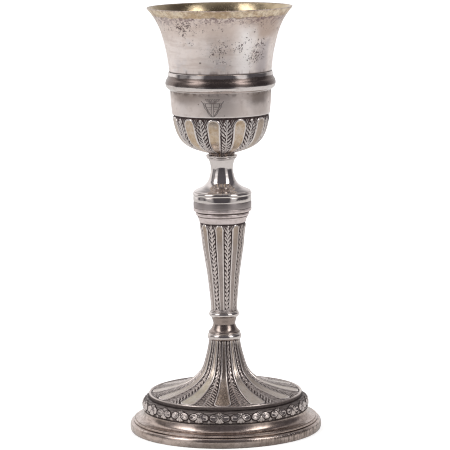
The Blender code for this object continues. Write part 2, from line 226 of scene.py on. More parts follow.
def make_mesh(name, grid, attributes):
    """A smooth mesh from rings of vertices, with the last ring joined to the first.

    grid is rows x columns x 3 in mm; attributes maps names to rows x columns values.
    """
    count = grid.shape[0] * grid.shape[1]
    index = np.arange(count).reshape(grid.shape[:2])
    below, right = np.roll(index, -1, axis=0), np.roll(index, -1, axis=1)
    quads = np.stack([index, below, np.roll(below, -1, axis=1), right], -1)
    mesh = bpy.data.meshes.new(name)
    mesh.vertices.add(count)
    mesh.vertices.foreach_set("co", (grid * MM).astype(np.float32).reshape(-1))
    mesh.loops.add(4 * count)
    mesh.loops.foreach_set("vertex_index", quads.astype(np.int32).reshape(-1))
    mesh.polygons.add(count)
    mesh.polygons.foreach_set("loop_start", np.arange(0, 4 * count, 4, dtype=np.int32))
    mesh.polygons.foreach_set("use_smooth", np.ones(count, bool))
    for key, values in attributes.items():
        layer = mesh.attributes.new(key, "FLOAT", "POINT")
        layer.data.foreach_set("value", values.astype(np.float32).reshape(-1))
    mesh.update(calc_edges=True)
    mesh.validate()
    ob = bpy.data.objects.new(name, mesh)
    bpy.context.scene.collection.objects.link(ob)
    return ob


def finish_piece(ob, node, body, metal):
    ob.data.materials.append(metal)
    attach(ob, body)
    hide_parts(node)


def turned(name, table, step, segments, wobble):
    """A plain turned piece; wobble (mm) lets it stray from a true circle."""
    radius, z, _ = sampled(table, step)
    radius, z = radius[:, None], z[:, None]
    angles = even_angles(segments)
    turn = np.radians(angles)
    sway = np.sin(2 * turn + z * 0.05) + 0.6 * np.sin(3 * turn + 1.0 + z * 0.11)
    sway = sway + 0.4 * np.sin(5 * turn + 2.0 - z * 0.17)
    radius = radius + wobble * sway * np.clip(radius / 20, 0, 1)
    ob = make_mesh(name, rings(radius, z, angles), {})
    ob.data.set_sharp_from_angle(angle=radians(32))
    return ob


def chased(name, outer, inner, angles, ornament, step, inner_value=0.5):
    """A turned shell whose outer skin carries an ornament.

    ornament(angle, radius, z, length) gives the height in mm over the half section and the
    attributes, which are inner_value all over the inside.
    """
    radius, z, length = sampled(outer, step)
    radius_normal, z_normal = outward_normals(radius, z)
    around, over = np.meshgrid(angles, radius)
    up, along = np.meshgrid(angles, z)[1], np.meshgrid(angles, length)[1]
    height, values = ornament(around, over, up, along)
    skin = rings(over + radius_normal[:, None] * height, up + z_normal[:, None] * height, around)
    radius, z, _ = sampled(inner, INNER_STEP)
    inside = rings(radius[:, None], z[:, None], angles)
    plain = np.full(inside.shape[:2], inner_value)
    values = {key: np.vstack([value, plain]) for key, value in values.items()}
    return make_mesh(name, np.vstack([skin, inside]), values)


# ============================================================ ornament
def step_up(x, low, high):
    """0 below low, 1 above high, smooth between."""
    share = np.clip((x - low) / (high - low), 0, 1)
    return share * share * (3 - 2 * share)


def bump(x, centre, width):
    return np.exp(-(((x - centre) / width) ** 2))


def crossfade(first, second, share):
    return first * (1 - share) + share * second


def folded(angle, unit):
    """The signed angle from the nearest whole number of units."""
    return (angle + unit / 2) % unit - unit / 2


def waver(angle, along, seed, size):
    """A slow unevenness, as a chasing tool leaves: whole waves, so that it joins up."""
    rng = np.random.default_rng(seed)
    waves = 7
    out = 0.0
    for _ in range(waves):
        turns = rng.integers(3, 40)
        rate = rng.uniform(0.1, 0.9)
        shift, lag = rng.uniform(0, 2 * pi, 2)
        swing = np.sin(np.radians(angle) * turns + shift + 0.6 * np.sin(along * rate + lag))
        out = out + swing * np.cos(along * rate * 1.3 + lag)
    return out * size / waves ** 0.5


def feathered_leaf(side, along, pitch, bright, centre, ground, rib, ratio, tip, run, spray):
    """Height of a leaf that widens from its tip over run mm, with short strokes round the tip."""
    depth = -ground
    reach = ratio * pitch / 2
    width = reach * (1 - np.exp(-np.maximum(0, along - tip) / run)) ** 0.75
    outward = np.clip(side / np.maximum(width, 0.3), 0, 1)
    edge = width * (0.66 + 0.34 * bright) - side
    blade = step_up(edge, -0.10, 0.16) * step_up(along, tip, tip + 0.8)
    barb = 1 - (0.78 + 0.22 * step_up(outward, 0.1, 0.6)) * (1 - bright)
    barb = barb * (0.86 + 0.12 * outward)
    leaf = ground + depth * blade * (barb * (1 - centre) + 0.96 * centre)
    leaf = leaf - depth * 0.22 * bump(side, rib * 1.9, rib * 0.45) * blade
    strokes = 0.5 + 0.5 * np.cos(2 * pi * (along * 0.55 + side * 0.95) / 1.25)
    tips = bump(side, reach * 1.02, reach * 0.50) * step_up(along, 0.5, 1.6)
    tips = tips * (1 - step_up(along, spray * 0.6, spray))
    return np.maximum(leaf, ground + depth * tips * (0.12 + 0.48 * strokes))


def tongues_and_leaves(angle, radius, along, units, phase, fill, round_end, end_power, ground,
                       border, rib, barb_pitch, barb_slope, barb_gap, seed, leaf=None):
    """Smooth tongues with a raised border and a round end, and barbed ornament between them.

    along is mm from the edge that the round ends face, fill a tongue's share of its unit and
    ground the (negative) height of the sunk ground. leaf holds the sizes of feathered leaves;
    without it hatched strips fill the whole space between the tongues.
    Returns the height in mm, the share of height from the ground up, how far a point is into
    a tongue's face, and how near a tongue's border.
    """
    depth = -ground
    unit = 360.0 / units
    pitch = radians(unit) * radius
    drift = waver(angle, along, seed, 0.06)
    from_tongue = np.radians(folded(angle - phase, unit)) * radius + drift
    from_leaf = np.radians(folded(angle - phase - unit / 2, unit)) * radius + drift

    half = fill * pitch / 2
    cap = half * 1.02
    across = (np.abs(from_tongue) / half) ** end_power
    endwise = (np.maximum(0, round_end + cap - along) / cap) ** end_power
    inside = (1 - (across + endwise) ** (1 / end_power)) * half
    tongue = ground + depth * step_up(inside, -border * 0.35, border * 0.3)
    tongue = tongue + border * 0.13 * bump(inside, border * 0.60, border * 0.42)
    tongue = tongue - border * 0.20 * step_up(inside, border * 0.95, border * 1.7)
    face = step_up(inside, border * 0.95, border * 1.5)
    rim = bump(inside, border * 0.50, border * 0.52)

    side = np.abs(from_leaf)
    uneven = waver(angle * 3, along * 2, seed + 1, 0.16) + 0.10 * np.sign(from_leaf)
    barbs = (along + barb_slope * side) / barb_pitch + uneven
    wave = 0.5 + 0.5 * np.cos(2 * pi * barbs)
    bright = step_up(wave, barb_gap * 0.35, barb_gap)
    centre = bump(side, 0, rib)
    if leaf:
        filling = feathered_leaf(side, along, pitch, bright, centre, ground, rib, **leaf)
    else:
        blade = step_up(-inside, border * 0.75, border * 1.15)
        keep = 1 - 0.94 * (1 - bright) * (1 - centre)
        filling = ground + depth * blade * (0.82 * keep * (1 - centre) + 0.95 * centre)

    height = np.maximum(tongue, filling)
    share = np.clip((height - ground) / depth, 0, 1.15)
    share = share - 0.38 * bump(inside, border * 1.15, border * 0.28) * (tongue >= filling)
    return height, share, face, rim


PALMETTES = 25
PALMETTE_TURN = -4.1             # degrees, the middle of one flower
PALMETTE_RADIUS = 53.0           # where the flowers' widths are measured


def palmettes(angle, radius, z, length):
    """A band of flowers: two dished petals at the sides, a fan of three below, four above.

    Between them lie a plain ground and small darts.
    """
    deep, plain = -0.62, -0.30               # cut outline and ground
    spacing = 2 * pi * PALMETTE_RADIUS / PALMETTES
    x = radians(1.0) * folded(angle - PALMETTE_TURN, 360.0 / PALMETTES) * PALMETTE_RADIUS
    y = 6.5 - length                         # towards the top of the band
    side = np.abs(x)
    inside = np.full_like(x, -9.0)           # how far inside the nearest petal, mm
    height = np.full_like(x, deep)
    share = np.zeros_like(x)

    def lay(depth_in, top, tone):
        """Lay a shape over the rest; depth_in is how far inside its outline a point is."""
        nonlocal inside, height, share
        over = step_up(depth_in, -0.34, 0.0)
        inside = np.maximum(inside, depth_in)
        share = crossfade(share, tone * step_up(depth_in, 0.0, 0.30), over)
        raised = deep + (top - deep) * step_up(depth_in, -0.10, 0.30)
        height = crossfade(height, raised, over)

    def fan(apex, reach, half, petals, up, top, scallop, tone):
        """Petals spread half degrees to each side from apex, upwards if up is 1, down if -1."""
        rise = (y - apex) * up
        far, lean = np.hypot(x, rise), np.degrees(np.arctan2(x, rise))
        petal_half = half / petals
        petal = folded(lean + half + petal_half, 2 * petal_half) / petal_half
        end = reach * (1 - scallop * petal ** 2)
        depth_in = np.minimum((half - np.abs(lean)) * np.radians(1.0) * far, end - far)
        crease = step_up(np.abs(petal), 0.70, 0.98) * step_up(far, 0.7, 1.3)
        lay(depth_in, top - 0.30 * crease, tone * (1 - 0.85 * crease))

    fan(apex=0.2, reach=3.75, half=56.0, petals=4, up=1, top=-0.06, scallop=0.14, tone=0.62)
    tilted = y - 0.05 + 0.12 * (side - 3.30)
    lobe = (1 - np.hypot((side - 3.36) / 2.86, tilted / 2.30)) * 2.2
    curl = np.degrees(np.arctan2(y - 0.1, side - 2.2))
    ribs = (0.5 + 0.5 * np.cos(np.radians(curl * 5.0))) * step_up(lobe, 0.3, 0.9)
    lay(lobe, 0.05 - 0.42 * np.clip(lobe / 2.0, 0, 1) ** 0.75 - 0.10 * ribs, tone=0.92)
    fan(apex=0.55, reach=4.70, half=39.0, petals=3, up=-1, top=0.02, scallop=0.09, tone=1.15)
    lay(0.60 - np.hypot(x, y - 0.55), top=0.14, tone=1.1)

    # ground and darts between the flowers
    away = step_up(-inside, 0.36, 0.66)
    dart = 1.25 - np.abs(side - spacing / 2) * 1.0 - np.abs(y + 3.3) * 0.55
    dart = step_up(dart, 0.0, 0.5)
    height = crossfade(height, plain + 0.16 * dart, away)
    toned = 0.36 + 0.30 * dart + 0.10 * waver(angle, length * 5, 77, 1.0)
    share = crossfade(share, toned, away)

    # plain borders: below with a groove, then above
    low = step_up(-y, 4.15, 4.5)
    height = crossfade(height, -0.12, low)
    share = crossfade(share, 0.62, low)
    height = height - 0.22 * bump(y, -4.35, 0.2)
    share = share - 0.6 * bump(y, -4.35, 0.22)
    edge = step_up(y, 4.2, 4.7)
    height = crossfade(height, plain + 0.05, edge)
    toned = 0.37 + 0.08 * waver(angle, length * 4, 79, 1.0)
    # painted shade: the upper border darkens towards the top, where it meets the dome
    share = crossfade(share, toned * (1 - 0.5 * step_up(y, 5.2, 6.0)), edge)
    height = (height + waver(angle, length * 3, 71, 0.02)) * step_up(length, 0.1, 0.8)
    return height, {"share": np.clip(share, 0, 1.15), "face": 0 * share, "rim": 0 * share}


DOME_TONGUES, DOME_TURN, DOME_STEP = 12, -2.5, 0.45
DOME_EDGE_RADIUS = 47.5          # where the dome's ornament meets its plain rim


def dome_edge_length():
    radius, _, length = sampled(DOME_OUTER, DOME_STEP)
    top = radius.argmin()
    return float(np.interp(DOME_EDGE_RADIUS, radius[top:], length[top:]))


DOME_EDGE = dome_edge_length()


def dome_ornament(angle, radius, z, length):
    from_rim = DOME_EDGE - length
    height, share, face, rim = tongues_and_leaves(
        angle, radius, from_rim, units=DOME_TONGUES, phase=DOME_TURN,
        fill=0.52 - 0.05 * step_up(radius, 14.0, 40.0), round_end=0.7, end_power=2.7,
        ground=-0.55, border=0.66, rib=0.42, barb_pitch=2.7, barb_slope=1.1, barb_gap=0.62,
        seed=81)
    fade = step_up(from_rim, -0.3, 0.2)
    groove = bump(from_rim, -0.35, 0.22)
    share = share * fade + (1 - fade)
    # painted shade: the lip's lower, upright face darkens below its top edge
    share = share * (1 - 0.74 * step_up(-from_rim, 1.35, 2.3))
    share = np.clip(share - 0.4 * groove, 0, 1.15)
    return height * fade - 0.12 * groove, {"share": share, "face": face * fade, "rim": rim * fade}


SHAFT_TONGUES, SHAFT_TURN = 8, -9.0


def shaft_ornament(angle, radius, z, length):
    height, share, face, rim = tongues_and_leaves(
        angle, radius, length, units=SHAFT_TONGUES, phase=SHAFT_TURN,
        fill=0.465 + 0.05 * step_up(-z, -120.0, -80.0), round_end=0.7, end_power=2.1,
        ground=-0.58, border=0.60, rib=0.36, barb_pitch=2.75, barb_slope=1.20, barb_gap=0.50,
        seed=91, leaf=dict(ratio=0.415, tip=0.5, run=3.0, spray=6.0))
    ends = step_up(length, 0.0, 0.25) * step_up(z, 76.9, 77.6)
    share = share * ends + (1 - ends) * 0.8
    return height * ends, {"share": share, "face": face * ends, "rim": rim * ends}


CREST_TONGUES, CREST_TURN = 11, -9.3


def crest_ornament(angle, radius, z, length):
    height, share, face, rim = tongues_and_leaves(
        angle, radius, length, units=CREST_TONGUES, phase=CREST_TURN,
        fill=0.485, round_end=1.1, end_power=2.4,
        ground=-0.82, border=0.70, rib=0.38, barb_pitch=2.75, barb_slope=1.25, barb_gap=0.66,
        seed=101, leaf=dict(ratio=0.425, tip=0.9, run=4.2, spray=15.0))
    top = step_up(length, 0.0, 0.3)
    height = height * step_up(radius, 8.3, 9.6) * top
    return height, {"share": share * top, "face": face * top, "rim": rim * top}


ARMS_ANGLE, ARMS_Z, ARMS_RADIUS = -9.5, 208.2, 31.4      # the middle of the engraving
ARMS_START, ARMS_END = -25.0, 6.1                        # degrees with closely set columns
CUT_DEPTH = 0.06


def engraved(angle, z):
    """How strongly each point is cut: a shield with a cross, two drapes and a crest of leaves."""
    x = np.radians(angle - ARMS_ANGLE) * ARMS_RADIUS
    y = z - ARMS_Z
    side = np.abs(x)
    cut = np.zeros_like(x)

    def stroke(where, distance, width, strength=1.0):
        nonlocal cut
        away = np.abs(np.where(where, distance, 9))
        cut = np.maximum(cut, strength * (1 - step_up(away, width * 0.45, width)))

    # shield outline
    fall = np.clip((3.6 - y) / 8.0, 0, 1)
    shield = 4.4 * np.maximum(1 - fall ** 1.8, 0) ** 0.8
    stroke((y < 3.75) & (y > -4.5), side - shield, 0.36)
    stroke(side < 4.4, y - 3.6, 0.34)

    # cross, and hatching in two opposite quarters
    inside = (side < shield - 0.3) & (y < 3.4)
    from_bar = np.abs(y - 0.9)
    stroke(inside, side - 0.55, 0.24, 0.95)
    stroke(inside & (side > 0.50), from_bar - 0.55, 0.24, 0.95)
    hatching = 0.5 + 0.5 * np.cos(2 * pi * (x * 0.8 + y) / 0.8)
    quarters = inside & (side > 0.75) & (from_bar > 0.75) & (x * (y - 0.9) > 0)
    cut = np.maximum(cut, 0.45 * (quarters & (hatching > 0.55)))

    # drapes at both sides
    climb = np.clip((y + 5.0) / 10.6, 0, 1)
    drape = 6.9 * climb ** 0.62 + 0.25 * np.sin(y * 1.5) * step_up(y, -4.0, 0.0)
    here = (y < 5.3) & (y > -4.95)
    stroke(here, side - drape, 0.36, 0.95)
    stroke(here & (y < 4.0), side - drape + 1.05, 0.24, 0.7)
    folds = 0.5 + 0.5 * np.cos(2 * pi * (side * 1.0 - y * 0.6) / 1.15)
    between = here & (side > shield + 0.3) & (side < drape - 0.25) & (y < 4.3)
    cut = np.maximum(cut, 0.70 * (between & (folds > 0.50)))

    # seven leaves above
    for i in range(-3, 4):
        lean = 0.36 * i
        stem = (x - lean * (y - 2.6)) / (1 + lean ** 2) ** 0.5
        leaf = np.abs(stem) - 0.50 * np.sin(np.clip((y - 3.8) / 2.9, 0, 1) * pi)
        stroke((y > 3.9) & (y < 6.6), leaf, 0.26, 0.8)
    return cut


def band_engraving(angle, radius, z, length):
    cut = engraved(folded(angle, 360.0), z) * (angle < ARMS_END + 0.4)
    return -CUT_DEPTH * cut, {"line": cut}


# ============================================================ shader language
class Value:
    """An output socket that can be reckoned with; every operation adds a node."""

    def __init__(self, shader, socket):
        self.shader, self.socket = shader, socket

    def output(self, key):
        """Another output of the same node."""
        return Value(self.shader, self.socket.node.outputs[key])

    def __add__(self, other):
        return self.shader.math("ADD", self, other)

    def __radd__(self, other):
        return self.shader.math("ADD", other, self)

    def __sub__(self, other):
        # a plain number is added with its sign turned
        if isinstance(other, Value):
            return self.shader.math("SUBTRACT", self, other)
        return self + -other

    def __rsub__(self, other):
        return self.shader.math("SUBTRACT", other, self)

    def __mul__(self, other):
        return self.shader.math("MULTIPLY", self, other)

    def __truediv__(self, other):
        return self.shader.math("DIVIDE", self, other)

    def __abs__(self):
        return self.shader.math("ABSOLUTE", self)

    def rise(self, low, high, start=0.0, end=1.0):
        """start where this is below low, end above high, smooth between."""
        return self.shader.node("ShaderNodeMapRange", {
            "Value": self, "From Min": low, "From Max": high, "To Min": start, "To Max": end,
        }, interpolation_type="SMOOTHSTEP", clamp=True)

    def fall(self, low, high, start=1.0, end=0.0):
        return self.rise(low, high, start, end)


class Shader:
    """Builds one node tree."""

    def __init__(self, tree, output_kind):
        self.tree = tree
        tree.nodes.clear()
        self.out = tree.nodes.new(output_kind)

    def node(self, kind, inputs=None, output=0, **settings):
        """Add a node with its inputs by name or number, and give one of its outputs."""
        made = self.tree.nodes.new(kind)
        for key, value in settings.items():
            setattr(made, key, value)
        for key, value in (inputs or {}).items():
            if isinstance(value, Value):
                self.tree.links.new(value.socket, made.inputs[key])
            else:
                made.inputs[key].default_value = value
        return Value(self, made.outputs[output])

    def finish(self, value):
        self.tree.links.new(value.socket, self.out.inputs[0])

    def math(self, operation, first, second=0.0, third=0.0, clamp=False):
        return self.node("ShaderNodeMath", {0: first, 1: second, 2: third},
                         operation=operation, use_clamp=clamp)

    def larger(self, first, second):
        return self.math("MAXIMUM", first, second)

    def clamped_sum(self, first, second):
        return self.math("ADD", first, second, clamp=True)

    def mix(self, share, first, second):
        """Between two colours."""
        first, second = (c if isinstance(c, Value) else (*c, 1.0) for c in (first, second))
        return self.node("ShaderNodeMix", {0: share, 6: first, 7: second}, output=2,
                         data_type="RGBA", clamp_factor=True)

    def blend(self, share, first, second):
        """Between two numbers."""
        return self.node("ShaderNodeMix", {0: share, 2: first, 3: second},
                         data_type="FLOAT", clamp_factor=True)

    def mix_shader(self, share, first, second):
        return self.node("ShaderNodeMixShader", {0: share, 1: first, 2: second})

    def add_shader(self, first, second):
        return self.node("ShaderNodeAddShader", {0: first, 1: second})

    def emission(self, colour, strength):
        if not isinstance(colour, Value):
            colour = (*colour, 1.0)
        return self.node("ShaderNodeEmission", {"Color": colour, "Strength": strength})


class Surface(Shader):
    """A material; places are in millimetres on the piece at rest, angles in radians."""

    def __init__(self, name, colour=None):
        self.mat = bpy.data.materials.new(name)
        self.mat.use_nodes = True
        self.colour = colour
        super().__init__(self.mat.node_tree, "ShaderNodeOutputMaterial")

    @cached_property
    def place(self):
        at = self.node("ShaderNodeTexCoord", output="Object")
        return self.node("ShaderNodeVectorMath", {"Vector": at, "Scale": 1000.0},
                         operation="SCALE")

    @cached_property
    def x(self):
        return self.node("ShaderNodeSeparateXYZ", {"Vector": self.place})

    @cached_property
    def y(self):
        return self.x.output(1)

    @cached_property
    def z(self):
        return self.x.output(2)

    @cached_property
    def angle(self):
        return self.math("ARCTAN2", self.x, self.y * -1.0)

    @cached_property
    def radius(self):
        return self.math("SQRT", self.x * self.x + self.y * self.y)

    def noise(self, scale, detail=4.0, rough=0.6, seed=0.0, distortion=0.0, vector=None,
              stretch=None):
        """Cloudy noise; stretch multiplies the place by (x, y, z) first."""
        if stretch:
            vector = self.node("ShaderNodeVectorMath", {0: self.place, 1: stretch},
                               operation="MULTIPLY")
        return self.node("ShaderNodeTexNoise", {
            "Vector": vector or self.place, "W": seed, "Scale": scale, "Detail": detail,
            "Roughness": rough, "Distortion": distortion,
        }, noise_dimensions="4D")

    def mottle(self, scale, detail=5.0, rough=0.62):
        return self.noise(scale, detail, rough, seed=3.0)

    def fine(self, scale, detail=3.0, rough=0.6):
        return self.noise(scale, detail, rough, seed=7.0)

    def turning_marks(self, across, up, detail=4.0, rough=0.65):
        return self.noise(1.0, detail, rough, seed=1.0, stretch=(across, across, up))

    def zone(self, turn, half, low, high, soft, soft_z, fray=0.0):
        """1 inside a patch round turn (degrees) between two heights (mm), with soft edges."""
        angle, z = self.angle * DEGREES, self.z
        if fray:
            wander = self.noise(0.12, detail=3.0, seed=turn + low) - 0.5
            angle, z = angle + wander * (fray * 3.0), z + wander * fray
        away = abs(self.math("WRAP", angle - turn, 180.0, -180.0))
        across = away.fall(half - soft / 2, half + soft / 2)
        up = z.rise(low - soft_z / 2, low + soft_z / 2)
        return across * (up * z.fall(high - soft_z / 2, high + soft_z / 2))

    def pits(self, scale, density, small, large, vector=None):
        """Round pits in the share density of cells, their radius from small to large cells."""
        away = self.node("ShaderNodeTexVoronoi", {
            "Vector": vector or self.place, "Scale": scale, "Randomness": 0.9,
        }, output="Distance", feature="F1")
        chance = self.node("ShaderNodeSeparateColor", {"Color": away.output("Color")})
        there = self.math("LESS_THAN", chance, density)
        reach = self.blend(chance.output(1), small, large)
        return there * (away / reach).fall(0.55, 1.0)

    def attribute(self, name):
        return self.node("ShaderNodeAttribute", output="Fac", attribute_name=name)

    def openness(self, distance):
        """1 in the open, less in corners: what lies within distance mm."""
        return self.node("ShaderNodeAmbientOcclusion", {"Distance": distance * MM},
                         output="AO", samples=6, only_local=False)

    def coat(self, share, tint):
        """Lay a tint over the colour so far."""
        self.colour = self.mix(share, self.colour, tint)

    def metal(self, rough, heights, metallic=1.0):
        """Finish with the colour so far and a bump for each (height in mm, value)."""
        normal = None
        for size, value in heights:
            inputs = {"Strength": 1.0, "Distance": size * MM, "Height": value}
            if normal:
                inputs["Normal"] = normal
            normal = self.node("ShaderNodeBump", inputs)
        self.finish(self.node("ShaderNodeBsdfPrincipled", {
            "Base Color": self.colour, "Roughness": rough, "Metallic": metallic,
            "Normal": normal,
        }))
        return self.mat


# ============================================================ metals
SILVER = (0.78, 0.725, 0.705)
SILVER_WARM = (0.64, 0.56, 0.515)
SILVER_BROWN = (0.36, 0.285, 0.245)
SILVER_COOL = (0.72, 0.71, 0.74)
OXIDE = (0.070, 0.048, 0.046)


def scaled(colour, factors):
    return tuple(c * k for c, k in zip(colour, factors))


def worn_silver(name, rough, tarnish, brown, scratch, corner_shade=1.0, dull=0.0, tint=SILVER,
                metallic=1.0, film=None):
    """Turned silver: clouds of tarnish, turning marks, fine scratches and painted shade in
    corners.

    dull is the least roughness; film is a dark layer between two heights.
    """
    mat = Surface(name, tint)
    mottle, fine = mat.mottle(0.32), mat.fine(2.4)
    marks = mat.turning_marks(across=0.05, up=5.5)
    strokes = mat.noise(1.0, detail=2.0, rough=0.5, seed=5.0, stretch=(3.2, 2.4, 0.16))
    mat.coat(mat.noise(0.045).rise(0.42, 0.68) * tarnish, SILVER_WARM)
    mat.coat(mottle.rise(0.45, 0.75) * brown, SILVER_BROWN)
    mat.coat(marks.rise(0.5, 0.8) * (0.18 * scratch), SILVER_COOL)
    roughness = rough + (mottle - 0.5) * 0.28
    if film:
        low, high, soft = film["low"], film["high"], film["soft"]
        level = mat.z + (mat.noise(0.12, detail=3.0, seed=19.0) - 0.5) * 2.0
        filmed = level.rise(low - soft, low) * level.fall(high, high + soft) * film["amount"]
        mat.coat(filmed, film["tint"])
        roughness = roughness + filmed * 0.17
    # painted shade: darker in corners and in the seams between pieces, where little light reaches
    corner = mat.openness(1.2).fall(0.35, 0.92) * corner_shade
    mat.coat(corner, (0.13, 0.10, 0.085))
    roughness = roughness + (marks - 0.5) * (0.16 * scratch)
    roughness = mat.clamped_sum(roughness, corner * 0.3)
    if dull:
        roughness = mat.larger(roughness, dull)
    heights = [(0.012 * scratch, marks), (0.010 * scratch, strokes), (0.012, fine)]
    return mat.metal(roughness, heights, metallic)


def chased_silver(name, rough, low, high, ground=OXIDE, light=SILVER, face_light=None,
                  gilt=0.0, gilt_colour=None, gilt_rise=None, haze=0.25, grain_size=1.0,
                  polish=0.0, patches_and_highlights=()):
    """Chased silver: dark in the ground, bright where rubbed, with worn gilding on the tongues.

    low and high are the shares of height where the ground ends and clean metal begins.
    gilt_rise gives the heights between which the gilding comes in.
    """
    mat = Surface(name, light)
    share, face, rim = (mat.attribute(key) for key in ("share", "face", "rim"))
    mottle = mat.mottle(0.5, detail=4.0, rough=0.6)
    grain = mat.fine(3.2, rough=0.65)
    rubbed = share + (grain - 0.5) * 0.24 + (mottle - 0.5) * 0.14
    rubbed = rubbed.rise(low, high)
    mat.coat(mat.noise(0.06).rise(0.4, 0.7) * haze, SILVER_WARM)
    mat.coat(mottle.rise(0.5, 0.8) * 0.35, SILVER_BROWN)
    if face_light:
        cloudy = mat.noise(0.22, seed=15.0).rise(0.38, 0.68) * 0.6
        mat.coat(face, mat.mix(cloudy, face_light, scaled(face_light, (0.72,) * 3)))
    if gilt:
        left = mat.noise(0.16, rough=0.65, seed=9.0).rise(0.30, 0.62)
        shade = mat.noise(0.55, rough=0.65, seed=13.0).rise(0.38, 0.66)
        gold = mat.mix(shade, gilt_colour, scaled(gilt_colour, (0.74, 0.64, 0.50)))
        amount = face * (left * 0.6 + 0.4) * gilt
        if gilt_rise:
            amount = amount * mat.z.rise(*gilt_rise)
        mat.coat(amount, gold)
    matt = 0.0
    # tinted patches, and painted highlights where they are pale and matt
    for *bounds, amount, tint, flatness, everywhere in patches_and_highlights:
        cover = mat.zone(*bounds) * (1.0 if everywhere else face) * amount
        shade = mat.noise(0.30, rough=0.65, seed=17.0).rise(0.40, 0.66)
        mat.coat(cover, mat.mix(shade, tint, scaled(tint, (0.86, 0.82, 0.74))))
        matt = matt + cover * flatness
    speck = face * mat.noise(1.5, rough=0.7, seed=29.0).rise(0.53, 0.70)
    mat.coat(speck * 0.45, (0.26, 0.205, 0.17))
    mat.coat(rim * 0.75, (0.88, 0.82, 0.795))

    dusty = mat.noise(0.8, rough=0.7, seed=5.0).rise(0.45, 0.72)
    deep = mat.mix(dusty, ground, scaled(ground, (2.6,) * 3))
    mat.colour = mat.mix(rubbed, deep, mat.colour)
    # painted shade: darker in hollows and corners, in the ground's colour
    mat.coat(mat.openness(0.9).fall(0.30, 0.85, start=0.70), ground)
    roughness = mat.blend(rubbed, 0.62, rough + (mottle - 0.5) * 0.2)
    roughness = roughness + rim * -0.10
    metallic = mat.blend(rubbed, 0.65, 0.97)
    if patches_and_highlights:
        roughness = roughness + matt * 0.14
        metallic = metallic + matt * -0.52
    roughness = mat.clamped_sum(roughness, (grain - 0.5) * (0.10 * (1 - polish)))
    stipple = mat.noise(7.0, detail=2.0, rough=0.5, seed=2.0)
    return mat.metal(roughness, [(0.03 * grain_size, grain), (0.018 * grain_size, stipple)],
                     metallic)


# turn, half width (degrees), low, high (mm), soft edge (degrees, mm), fray (mm), amount, tint
CUP_STAINS_AND_HIGHLIGHT = [
    (48, 22, 252.5, 269, 20, 6, 8, 0.68, (0.43, 0.31, 0.245)),
    (-168, 40, 246, 266, 30, 6, 9, 0.6, (0.38, 0.295, 0.25)),
    (2, 13, 239, 262, 12, 7, 7, 0.42, (0.53, 0.425, 0.37)),
    (52, 9, 228, 250, 13, 8, 5, 0.62, (0.46, 0.41, 0.425)),
    # painted highlight: a pale upright stripe on the front right
    (27, 9, 226, 259, 16, 10, 5, 0.85, (1.0, 0.955, 0.94)),
    (120, 26, 232, 247, 20, 6, 8, 0.4, (0.48, 0.41, 0.39)),
]
BAND_STAINS = [
    (6, 20, 203, 213, 16, 5, 5, 0.40, (0.42, 0.345, 0.305)),
    (50, 13, 210.0, 219, 16, 6.0, 7, 0.78, (0.24, 0.19, 0.17)),
    (-45, 22, 211.0, 219, 18, 6, 6, 0.60, (0.36, 0.29, 0.26)),
    (52, 16, 203, 210, 12, 5, 5, 0.35, (0.40, 0.33, 0.295)),
]
# where pits crowd together on the cup: the same columns without the tint
CUP_PITTED = [
    (26, 31, 235.0, 252.0, 18, 7, 8, 0.56),
    (-33, 9, 247, 262, 10, 6, 6, 0.36),
    (-8, 16, 234, 247, 10, 6, 5, 0.22),
    (0, 200, 256.0, 265.5, 5, 5, 5, 0.30),
]
GILT_EDGE = 265.1                # mean height of the lower edge of the cup's gilt strip


def coat_zones(mat, rows):
    for *bounds, amount, tint in rows:
        mat.coat(mat.zone(*bounds) * amount, tint)


def cup_pitting(mat):
    """How dark each point of the cup is with pits and specks, which lie in drifts."""
    wobbly = mat.node("ShaderNodeTexNoise", {"Vector": mat.place, "Scale": 0.9, "Detail": 2.0},
                      output="Color")
    shift = mat.node("ShaderNodeVectorMath", {"Vector": wobbly, "Scale": 0.9},
                     operation="SCALE")
    warp = mat.node("ShaderNodeVectorMath", {0: mat.place, 1: shift}, operation="ADD")
    crowded = [mat.zone(*bounds) * amount for *bounds, amount in CUP_PITTED]
    crowd = reduce(operator.add, crowded)
    drift = mat.noise(0.055, detail=3.0, rough=0.55, seed=14.0).rise(0.50, 0.64)
    drift = drift * abs(mat.angle).rise(1.1, 1.5)
    crowd = crowd + drift * 0.40 + 0.03
    crowd = crowd * mat.noise(0.13, detail=3.0, seed=72.0).rise(0.40, 0.60, start=0.22)
    pit = mat.larger(
        mat.pits(scale=0.50, density=crowd * 0.8, small=0.16, large=0.36, vector=warp),
        mat.pits(scale=0.80, density=crowd * 0.6, small=0.14, large=0.36, vector=warp))
    blotch = mat.noise(0.80, detail=3.0, rough=0.55, distortion=1.3, seed=35.0)
    blotch = (blotch - (0.705 + crowd * -0.32)).rise(0.0, 0.035)
    pit = mat.larger(pit, blotch * crowd.rise(0.08, 0.20))
    thin = mat.noise(1.6, detail=2.0, seed=33.0).rise(0.25, 0.5)
    return pit * (thin * 0.45 + 0.55)


